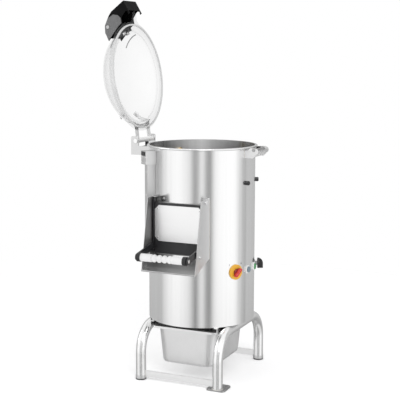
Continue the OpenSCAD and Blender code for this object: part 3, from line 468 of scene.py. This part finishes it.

# ---------------------------------------------------------------- Barrel
# Rolled and seam-welded stainless sheet, brushed upright, with a bead rolled round its rim. Inside
# it is dull across the middle and shinier towards two sides, where painted shade darkens it.
# Painted shade: the inside is darkened towards its two sides
brushed_barrel = metal("brushed_barrel", tone=0.84, rough=0.18, grain=(900, 900, 9), depth=0.05,
                       streak=0.05,
                       inside=dict(axes=(1, 1, 0), reach=0.199, tone=0.45, middle=(0.0, 0.56),
                                   ends=(1.0, 0.14), across=(0.91, 0.41, 0), heights=(0.20, 0.21)))
finish_with(brushed_barrel, "barrel_shell")
barrel_r = 0.200


def round_barrel(deg, reach=0.0, z=0.0, side=0.0):
    """The point at that angle, that far out of the barrel's wall, up and to the right of there."""
    a = math.radians(deg)
    r = barrel_r + reach
    return Vector((r * math.cos(a) - side * math.sin(a), r * math.sin(a) + side * math.cos(a), z))


def away(deg):
    """The way out of the barrel at that angle."""
    return Vector((math.cos(math.radians(deg)), math.sin(math.radians(deg)), 0))


seam_deg, seam_low, seam_high = 75, 0.222, 0.862
spread("barrel_seam", ripple,
       seam(round_barrel(seam_deg, z=seam_low), round_barrel(seam_deg, z=seam_high),
            pitch=0.003, out=away(seam_deg)), weld_metal, "machine")

# ---------------------------------------------------------------- Drum
# The drum inside: a gritty lining and a waved disc that spins under the load, over a plain floor.
# The grit is silicon carbide set in resin.


def gritty(name, dark, light, grain, rough):
    """Grit in resin: small bright corners stand out of a dark bed."""
    m, t, face, co = new_finish(name)
    face.inputs["Roughness"].default_value = rough
    cells = made(t, "ShaderNodeTexVoronoi", {"Scale": grain, "Randomness": 1.0})
    shade = shaded(t, 0.1, 0.75, light, dark)
    bump = made(t, "ShaderNodeBump", {"Strength": 0.6, "Distance": 0.0008}, invert=True)
    wired(t,
          (co, "Object", cells, "Vector"), (cells, "Distance", shade, "Vector"),
          (shade, 1, face, "Base Color"), (cells, "Distance", bump, "Height"),
          (bump, 0, face, "Normal"))
    return m


lining_grit = gritty("lining_grit", dark=(0.07, 0.07, 0.072), light=(0.26, 0.26, 0.265),
                     grain=420.0, rough=0.75)
finish_with(lining_grit, "abrasive_liner")
disc_grit = gritty("disc_grit", dark=(0.05, 0.05, 0.05), light=(0.2, 0.2, 0.2), grain=380.0,
                   rough=0.7)
finish_with(disc_grit, "abrasive_disc")

# Coarse grains stand out of the resin, strewn over the faces that meet the potatoes
strewing, g_in, g_out = tree_of(
    "strewn_grit",
    (("Bed", "Geometry"), ("Density", "Float"), ("Grain", "Object"), ("Finish", "Material")),
    "Grains")
g_grain = made(strewing, "GeometryNodeObjectInfo")
g_points = made(strewing, "GeometryNodeDistributePointsOnFaces", {"Seed": 11})
g_size = made(strewing, "FunctionNodeRandomValue", {2: 0.55, 3: 1.25, "Seed": 4})
g_put = made(strewing, "GeometryNodeInstanceOnPoints")
g_real = made(strewing, "GeometryNodeRealizeInstances")
g_finish = made(strewing, "GeometryNodeSetMaterial")
wired(strewing,
      (g_in, "Bed", g_points, "Mesh"), (g_in, "Density", g_points, "Density"),
      (g_in, "Grain", g_grain, "Object"), (g_points, "Points", g_put, "Points"),
      (g_points, "Rotation", g_put, "Rotation"), (g_grain, "Geometry", g_put, "Instance"),
      (g_size, 1, g_put, "Scale"), (g_put, 0, g_real, 0), (g_real, 0, g_finish, "Geometry"),
      (g_in, "Finish", g_finish, "Material"), (g_finish, 0, g_out, 0))


def strewn(name, node, wanted, density, finish, body):
    """Strews grains over the faces of a CAD node that wanted(middle, normal) picks."""
    bed = bmesh.new()
    bed.from_mesh(nodes[node].data)
    bmesh.ops.remove_doubles(bed, verts=bed.verts, dist=1e-6)
    bed.normal_update()
    spare = [f for f in bed.faces if not wanted(f.calc_center_median(), f.normal)]
    bmesh.ops.delete(bed, geom=spare, context="FACES")
    carrier = linked(name + "_bed", meshed(name, bed))
    grain = bpy.data.objects.new(name + "_grain", lathed(
        [(0, -0.0006), (0.0016, -0.0002), (0.0013, 0.0007), (0, 0.0012)], 5))
    made_plain(carrier, strewing, {"Density": density, "Grain": grain, "Finish": finish},
               name, body)
    bpy.data.objects.remove(grain)


# The grains stay above the waves' foot, short of the disc's rim, and off the lining's outer face
waves_low, waves_r, lining_r = 0.4835, 0.186, 0.196


def on_disc(middle, normal):
    """The top of the waved disc, short of its rim."""
    return normal.z > 0.6 and middle.z > waves_low and middle.xy.length < waves_r


def in_lining(middle, normal):
    """The lining's inner face."""
    return normal.xy.dot(middle.xy) < 0 and middle.xy.length < lining_r and normal.z < 0.3


strewn("disc_grains", "abrasive_disc", on_disc, density=14000.0, finish=disc_grit,
       body="disc")
strewn("liner_grains", "abrasive_liner", in_lining, density=9000.0, finish=lining_grit,
       body="machine")
sheet_steel = metal("sheet_steel", tone=0.74, rough=0.30, grain=(420, 420, 18), depth=0.06,
                    streak=0.07)
finish_with(sheet_steel, "drum_floor", "base_plate", "motor_mount", "drain_pipe")

# ---------------------------------------------------------------- Water inlet
# A turned brass elbow through the wall under the rim, held by a flange on each side of it. It
# points down inside, and its spigot outside, which takes the hose, is knurled.
brass = metal("turned_brass", tone=0.80, rough=0.22, grain=(150, 150, 900), depth=0.08, streak=0.10,
              tint=(1.0, 0.78, 0.40))
finish_with(brass, "water_nozzle")


def ribbed_ring(name, deg, z, radius, reach, half, thick, count, finish, body):
    """Ribs round an axis that points out of the barrel, each lying along that axis."""
    rib = lathed([(0, -half), (thick * 0.8, 0.001 - half), (thick, 0), (thick * 0.8, half - 0.001),
                  (0, half)], 6)
    ring = []
    for k in range(count):
        a = 2 * math.pi * k / count
        spot = round_barrel(deg, reach, z + radius * math.sin(a), radius * math.cos(a))
        ring.append((spot, away(deg), (0, 0, 1)))
    spread(name, rib, ring, finish, body)


ribbed_ring("nozzle_knurl", deg=139.5, z=0.830, radius=0.0124, reach=0.024, half=0.009,
            thick=0.0008, count=24, finish=brass, body="machine")

# ---------------------------------------------------------------- Drive
# Cast bearing housing, ribbed motor, turned shaft and pulleys, all closed in under the drum. The
# castings are painted iron, and the turned pieces are alloy.
cast_iron = moulded("painted_casting", (0.11, 0.12, 0.13), rough=0.55, speck=0.2, grain=260.0,
                    depth=0.4)
finish_with(cast_iron, "bearing_housing", "motor_body")
turned_alloy = metal("turned_alloy", tone=0.66, rough=0.28, grain=(60, 60, 900), depth=0.10,
                     streak=0.08)
finish_with(turned_alloy, "drive_pulley", "motor_pulley", "main_shaft")

# ---------------------------------------------------------------- Controls
# Yellow plate with a red turn switch, two push buttons in white rings and a black timer knob, all
# clipped through the barrel into a box behind it.
yellow_plastic = moulded("yellow_plate", (0.92, 0.50, 0.035), rough=0.38, speck=0.05, grain=800.0,
                         depth=0.05, coat=0.2)
finish_with(yellow_plastic, "main_switch_plate")
red_plastic = moulded("red_knob", (0.72, 0.035, 0.04), rough=0.30, speck=0.06, grain=800.0,
                      depth=0.05, coat=0.3)
# The skirt's deeper red is painted shade
skirt_painted_shade_red = moulded("switch_skirt_painted_shade", (0.30, 0.010, 0.012), rough=0.34, speck=0.08, grain=800.0,
                   depth=0.05, coat=0.2)
controls_z, switch_deg, timer_deg = 0.415, -27.75, 25.5


def lofted(shape, rings, count, waist=0.0):
    """Adds a closed body through rings written as (reach, half short side, half long side, how
    square). The waist pulls its long sides in at the middle, for finger and thumb."""
    layers = []
    for reach, short, long_, square in rings:
        layer = []
        for k in range(count if long_ else 1):
            c, d = math.cos(2 * math.pi * k / count), math.sin(2 * math.pi * k / count)
            y = short * math.copysign(abs(c) ** (2 / square), c)
            z = long_ * math.copysign(abs(d) ** (2 / square), d)
            if long_:
                y *= 1 - waist * math.cos(z / long_ * math.pi / 2) ** 2
            layer.append(shape.verts.new((reach, y, z)))
        layers.append(layer)
    stitched(shape, layers, count)


# The switch's grip on its round skirt, turned to 45 degrees, with the skirt in a deeper red that is
# painted shade
skirt_end = 0.0125
grip = bmesh.new()
lofted(grip, ((0.0085, 0, 0, 2), (0.0085, 0.0066, 0.0184, 5), (0.0120, 0.0064, 0.0189, 5),
              (0.0190, 0.0056, 0.0188, 5), (0.0216, 0.0050, 0.0182, 4), (0.0229, 0.0038, 0.0168, 4),
              (0.0233, 0, 0, 2)), 40, 0.22)
lofted(grip, ((0.0049, 0, 0, 2), (0.0049, 0.0128, 0.0128, 2), (0.0080, 0.0126, 0.0126, 2),
              (0.0096, 0.0112, 0.0112, 2), (0.0099, 0, 0, 2)), 40)
bmesh.ops.recalc_face_normals(grip, faces=grip.faces)
for f in grip.faces:
    f.smooth = True
    f.material_index = 1 if f.calc_center_median().x < skirt_end else 0
for v in grip.verts:
    x, y, z = v.co
    v.co = round_barrel(switch_deg, x, controls_z + (z - y) * math.sqrt(0.5),
                        (y + z) * math.sqrt(0.5))
grip_mesh = meshed("switch_grip", grip)
switch_grip = placed("switch_grip", grip_mesh, "main_switch", red_plastic)
grip_mesh.materials.append(skirt_painted_shade_red)
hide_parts("main_switch_knob")
ring_plastic = moulded("button_rings", (0.86, 0.86, 0.86), rough=0.28, speck=0.03, grain=800.0,
                       depth=0.04, coat=0.3)
finish_with(ring_plastic, "button_bezels")
stop_plastic = moulded("stop_cap", (0.20, 0.27, 0.32), rough=0.30, speck=0.08, grain=800.0,
                       depth=0.05, coat=0.3)
finish_with(stop_plastic, "stop_button")
start_plastic = moulded("start_cap", (0.05, 0.33, 0.10), rough=0.30, speck=0.08, grain=800.0,
                        depth=0.05, coat=0.3)
finish_with(start_plastic, "start_button")
black_plastic = moulded("black_plastic", (0.014, 0.014, 0.015), rough=0.36, speck=0.2, grain=900.0,
                        depth=0.10, coat=0.15)
finish_with(black_plastic, "timer_knob", "cable_gland", "switch_plug")
ribbed_ring("gland_ribs", deg=110, z=0.250, radius=0.0104, reach=0.015, half=0.006, thick=0.0009,
            count=14, finish=black_plastic, body="machine")
ribbed_ring("timer_knob_ribs", deg=timer_deg, z=controls_z, radius=0.0194, reach=0.015, half=0.0024,
            thick=0.0008, count=26, finish=black_plastic, body="timer")
grey_plastic = moulded("grey_plastic", (0.42, 0.42, 0.43), rough=0.45, speck=0.06, grain=800.0,
                       depth=0.08)
finish_with(grey_plastic, "timer_flange", "control_box")

# Printed on the barrel: a dot for each half minute of the timer with its plain numbers, and the
# 0 and I of the turn switch. The knob has a white line to read them by.
print_ink = moulded("print_ink", (0.045, 0.045, 0.05), rough=0.55, speck=0.2, grain=900.0,
                    depth=0.05, coat=0.0, shine=0.3)
white_ink = moulded("white_ink", (0.80, 0.80, 0.80), rough=0.5, speck=0.05, grain=900.0, depth=0.05,
                    coat=0.0, shine=0.3)
dots_r, dots_lift, ink_lift, ink_half = 0.0245, 0.00008, 0.0001, 0.00012
numbers_r, numbers_size, marks_off, marks_size = 0.031, 0.0075, 0.028, 0.011
dots = []
for k in range(11):
    a = math.radians(30 * k)
    side = dots_r * math.sin(a)
    dots.append((round_barrel(timer_deg, dots_lift, controls_z + dots_r * math.cos(a), side),
                 away(timer_deg + math.degrees(side / barrel_r)), (0, 0, 1)))
spread("timer_dots", lathed([(0, -0.0002), (0.0009, -0.0002), (0.0008, 0.0001), (0, 0.00012)], 10),
       dots, print_ink, "machine")


def printed(name, marks, finish):
    """Thin raised characters on the barrel, written as (character, angle, height, to the right,
    size)."""
    sheet = bmesh.new()
    for text, deg, z, side, size in marks:
        letters = bpy.data.curves.new(name, "FONT")
        letters.body = text
        letters.size = size
        letters.align_x = "CENTER"
        letters.align_y = "CENTER"
        letters.resolution_u = 3
        letters.extrude = ink_half
        holder = linked(name, letters)
        flat_marks = bpy.data.meshes.new_from_object(holder)
        for v in flat_marks.vertices:
            turn = math.degrees((side + v.co.x) / barrel_r)
            v.co = round_barrel(deg + turn, ink_lift + v.co.z, z + v.co.y)
        sheet.from_mesh(flat_marks)
        bpy.data.objects.remove(holder)
        bpy.data.meshes.remove(flat_marks)
    bmesh.ops.remove_doubles(sheet, verts=sheet.verts, dist=1e-7)
    placed(name, meshed(name, sheet), "machine", finish)


marks = []
for k in range(6):
    a = math.radians(60 * k)
    marks.append((str(k), timer_deg, controls_z + numbers_r * math.cos(a), numbers_r * math.sin(a),
                  numbers_size))
for text, side in (("0", marks_off), ("I", -marks_off)):
    marks.append((text, switch_deg, controls_z + marks_off, side, marks_size))
printed("control_marks", marks, print_ink)


def strip(path, outs, width, thick):
    """A strip of mesh along a path, thick outwards, with closed ends."""
    shape = bmesh.new()
    rings = []
    for k, (here, out) in enumerate(zip(path, outs)):
        run = path[min(k + 1, len(path) - 1)] - path[max(k - 1, 0)]
        across = run.cross(out).normalized() * (width / 2)
        rise = out.normalized() * thick
        rings.append([shape.verts.new(v) for v in (
            here - across, here + across, here + across * 0.7 + rise, here - across * 0.7 + rise)])
    for low, high in zip(rings, rings[1:]):
        for k in range(4):
            shape.faces.new((low[k], low[k - 3], high[k - 3], high[k]))
    shape.faces.new(rings[0])
    shape.faces.new(rings[-1])
    bmesh.ops.recalc_face_normals(shape, faces=shape.faces)
    return meshed("strip", shape)


line_path, line_outs = [], []
line_reach, line_r = 0.013, 0.0200
for k in range(12):
    a = math.radians(12 + 5 * k)
    line_path.append(round_barrel(timer_deg, line_reach + line_r * math.cos(a),
                                  controls_z + line_r * math.sin(a)))
    line_outs.append(away(timer_deg) * math.cos(a) + Vector((0, 0, math.sin(a))))
placed("timer_pointer", strip(line_path, line_outs, width=0.0018, thick=0.0003), "timer",
       white_ink)

# ---------------------------------------------------------------- Hinge and latch brackets
# Folded stainless sheet, welded to the barrel, with turned pins. The lid's safety switch has a
# screwed box beside the hinge, and its wire runs down the barrel in a riveted duct.
# The box, the duct and the hinge bracket take a darker copy of the same folded sheet, its lower
# tone painted shade
duct_sheet_painted_shade = metal("duct_sheet_painted_shade", tone=0.66, rough=0.32, grain=(420, 420, 30), depth=0.05,
                   streak=0.06)
finish_with(duct_sheet_painted_shade, "switch_box", "wire_duct", "hinge_bracket")
latch_sheet = metal("latch_sheet", tone=0.84, rough=0.40, grain=(420, 420, 30), depth=0.05,
                    streak=0.04)
finish_with(latch_sheet, "latch_bracket")
bracket_seams = []
for side in (-1, 1):
    for x, y, low, high in ((-0.187, 0.0713, 0.827, 0.864), (0.1925, 0.0548, 0.833, 0.866)):
        bracket_seams += seam((x, side * y, low), (x, side * y, high), pitch=0.0028,
                              out=(math.copysign(0.5, x), 0.85 * side, 0))
spread("bracket_welds", ripple, bracket_seams, weld_metal, "machine")
pin_steel = metal("turned_pins", tone=0.84, rough=0.16, grain=(700, 60, 700), depth=0.04,
                  streak=0.05)
finish_with(pin_steel, "hinge_pin", "frame_bolts", "lid_screws")
catch_steel = metal("catch_steel", tone=0.40, rough=0.30, grain=(700, 60, 700), depth=0.04,
                    streak=0.08)
finish_with(catch_steel, "catch_bar")
pan_head = lathed([(0, -0.0005), (0.0034, -0.0005), (0.0034, 0.0008), (0.0027, 0.0018),
                   (0.0015, 0.0021), (0.0014, 0.0010), (0, 0.0010)], 12)
rivet = lathed([(0, -0.0005), (0.0026, -0.0005), (0.0025, 0.0003), (0.0016, 0.0009), (0, 0.0011)],
               12)
box_deg, box_reach, duct_reach = -127.95, 0.042, 0.032
spread("box_screws", pan_head,
       [(round_barrel(box_deg, box_reach, z, side), away(box_deg), (0, 0, 1))
        for side in (-0.0150, 0.0150) for z in (0.8105, 0.8310)],
       pin_steel, "machine")
spread("duct_rivets", rivet,
       [(round_barrel(box_deg, duct_reach, z), away(box_deg), (0, 0, 1))
        for z in (0.520, 0.605, 0.690, 0.775)], pin_steel, "machine")

# ---------------------------------------------------------------- Chute
# Bright sheet bent into a trough, open in front, with a square neck to the drum. Inside, above its
# lip, the trough is darkened with painted shade.
# Its inside settings paint shade in the trough, between the side plates
chute_sheet = metal("chute_sheet", tone=0.73, rough=0.40, grain=(30, 500, 500), depth=0.08,
                    streak=0.06,
                    inside=dict(axes=(1, 0, 0), reach=0.105, tone=0.43, middle=(1.0, 0.42),
                                ends=(1.0, 0.42), across=(1, 0, 0), heights=(0.395, 0.475)))
finish_with(chute_sheet, "chute_body", "outlet_collar")
finish_with(pin_steel, "door_hinge_pins", "door_stop_pins", "grip_rod")
plate_x, plate_y, plate_low, plate_high = 0.1064, -0.1694, 0.470, 0.685
chute_seams = []
for side in (-1, 1):
    x = side * plate_x
    chute_seams += seam((x, plate_y, plate_low), (x, plate_y, plate_high), pitch=0.0033,
                        out=(0.75 * side, -0.55, 0))
spread("chute_welds", ripple, chute_seams, weld_metal, "machine")

# ---------------------------------------------------------------- Door
# A black plate closes the outlet, with a bright panel on it, and hangs on two dark bent bars
# that end at a white beaded grip.
seal_rubber = moulded("door_seal", (0.026, 0.026, 0.028), rough=0.42, speck=0.2, shine=0.4)
finish_with(seal_rubber, "door_seal")
satin_panel = metal("satin_panel", tone=0.92, rough=0.34, grain=(30, 400, 400), depth=0.04,
                    streak=0.03)
finish_with(satin_panel, "door_panel")
panel_y = -0.2078
spread("panel_rivets", rivet,
       [((x, panel_y, z), (0, -1, 0), (0, 0, 1)) for x in (-0.082, 0.082) for z in (0.543, 0.649)],
       pin_steel, "door")
dark_bar = moulded("dark_bars", (0.018, 0.018, 0.020), rough=0.36, speck=0.2, grain=500.0,
                   depth=0.08, coat=0.1, shine=0.35)
finish_with(dark_bar, "door_arms", "grip_ends")
white_grip = moulded("white_grip", (0.90, 0.90, 0.90), rough=0.36, speck=0.03, grain=700.0,
                     depth=0.05, coat=0.1)
finish_with(white_grip, "door_grip")

# ---------------------------------------------------------------- Lid
# Dome, ring and tongue are one clear polycarbonate moulding with a white silicone seal under it.
# In its own frame the lid is shut, its hinge at hinge_foot; in the scene it stands open.
hinge_foot, hinge_at = Vector((-0.243, 0, 0)), Vector((-0.243, 0, 0.878))
opened = math.radians(97.2)
foot_inner, foot_outer = 0.1795, 0.1815


def clear_moulding(name, colour, rough, through, edge_on, ring=0.0):
    """Clear plastic: seen square on almost all light passes it, seen edge on it looks grey. Its
    thick flat ring, outside the dome's foot, lets less light pass by ring."""
    m, t, face, co = new_finish(name)
    face.inputs["Base Color"].default_value = (*colour, 1)
    face.inputs["IOR"].default_value = 1.49
    wipes = made(t, "ShaderNodeTexNoise", {"Scale": 14.0, "Detail": 5.0})
    gloss = made(t, "ShaderNodeMapRange", {"To Min": rough * 0.5, "To Max": rough * 1.6})
    side = made(t, "ShaderNodeLayerWeight", {"Blend": 0.13})
    cover = made(t, "ShaderNodeMapRange", {"To Max": edge_on})
    patchy = made(t, "ShaderNodeMath", {1: 0.02, 2: -0.01}, operation="MULTIPLY_ADD")
    sum_up = made(t, "ShaderNodeMath", operation="ADD", use_clamp=True)
    back = hinge_foot - Matrix.Rotation(opened, 3, "Y") @ hinge_at
    shut = made(t, "ShaderNodeMapping", {"Rotation": (0, opened, 0), "Location": back})
    flat = made(t, "ShaderNodeVectorMath", {1: (1, 1, 0)}, operation="MULTIPLY")
    reach = made(t, "ShaderNodeVectorMath", operation="LENGTH")
    thick = made(t, "ShaderNodeMapRange", {
        "From Min": foot_inner, "From Max": foot_outer,
        "To Min": through, "To Max": through + ring})
    wired(t,
          (co, "Object", shut, "Vector"), (shut, 0, flat, 0), (flat, 0, reach, 0),
          (reach, "Value", thick, "Value"), (thick, 0, cover, "To Min"),
          (co, "Object", wipes, "Vector"), (wipes, "Fac", gloss, "Value"),
          (gloss, 0, face, "Roughness"), (wipes, "Fac", patchy, 0),
          (side, "Facing", cover, "Value"), (cover, 0, sum_up, 0), (patchy, 0, sum_up, 1),
          (sum_up, 0, face, "Alpha"))
    return m


clear_lid = clear_moulding("clear_polycarbonate", (0.26, 0.265, 0.27), rough=0.08, through=0.015,
                           edge_on=0.30, ring=0.05)
finish_with(clear_lid, "lid_dome")
silicone = moulded("silicone_seal", (0.80, 0.80, 0.80), rough=0.45, speck=0.04, grain=500.0,
                   depth=0.04, coat=0.0, shine=0.3)
finish_with(silicone, "lid_seal")

# Two narrow ribs stiffen the dome behind the latch, bonded along its inner face
lid_open = (Matrix.Translation(hinge_at) @ Matrix.Rotation(-opened, 4, "Y")
            @ Matrix.Translation(-hinge_foot))
dome_r, dome_h, dome_round = 0.1772, 0.0955, 2.2
rib_y, rib_low, rib_step, rib_lean = 0.062, 0.018, 0.0031, 3.4
rib_grey = moulded("rib_grey", (0.34, 0.34, 0.345), rough=0.35, speck=0.06, grain=700.0, depth=0.05)
ribs = bmesh.new()
for side in (-1, 1):
    rib_path, rib_outs = [], []
    for k in range(17):
        z = rib_low + rib_step * k
        r = dome_r * (1 - (z / dome_h) ** dome_round) ** (1 / dome_round)
        x = math.sqrt(r * r - rib_y ** 2)
        rib_path.append(lid_open @ Vector((x, side * rib_y, z)))
        rib_outs.append(lid_open.to_3x3() @ Vector((-x, -side * rib_y, -z * rib_lean)))
    ribs.from_mesh(strip(rib_path, rib_outs, width=0.0036, thick=0.0022))
placed("dome_ribs", meshed("dome_ribs", ribs), "lid", rib_grey)
hinge_sheet = metal("hinge_sheet", tone=0.93, rough=0.46, grain=(420, 420, 30), depth=0.05,
                    streak=0.03)
finish_with(hinge_sheet, "lid_hinge_plate")

# ---------------------------------------------------------------- Latch handle
# Black glass-filled nylon: a channel that ends in two hooks, on a block bolted to the dome,
# with grey side caps and a white pin.
handle_black = moulded("handle_nylon", (0.003, 0.003, 0.0034), rough=0.55, speck=0.25, grain=600.0,
                       depth=0.12, coat=0, shine=0.08)
finish_with(handle_black, "latch_handle", "handle_mount")
cap_grey = moulded("cap_grey", (0.175, 0.175, 0.178), rough=0.5, speck=0.08, grain=700.0,
                   depth=0.08, coat=0, shine=0.3)
finish_with(cap_grey, "handle_caps")
pin_plastic = moulded("pin_plastic", (0.55, 0.55, 0.55), rough=0.4, speck=0.05, grain=800.0,
                      depth=0.05)
finish_with(pin_plastic, "handle_pin")

# ---------------------------------------------------------------- Peel tray
# A deep-drawn catering tray of satin stainless sheet, hung by its rim in two folded rails. It
# isn't fixed to them, and pulls out to the front.
drawn_steel = metal("drawn_steel", tone=0.86, rough=0.36, grain=(160, 160, 160), depth=0.05,
                    streak=0.06)
finish_with(drawn_steel, "peel_tray")
bright_sheet = metal("bright_sheet", tone=0.86, rough=0.24, grain=(420, 420, 30), depth=0.05,
                     streak=0.05)
finish_with(bright_sheet, "tray_rails")
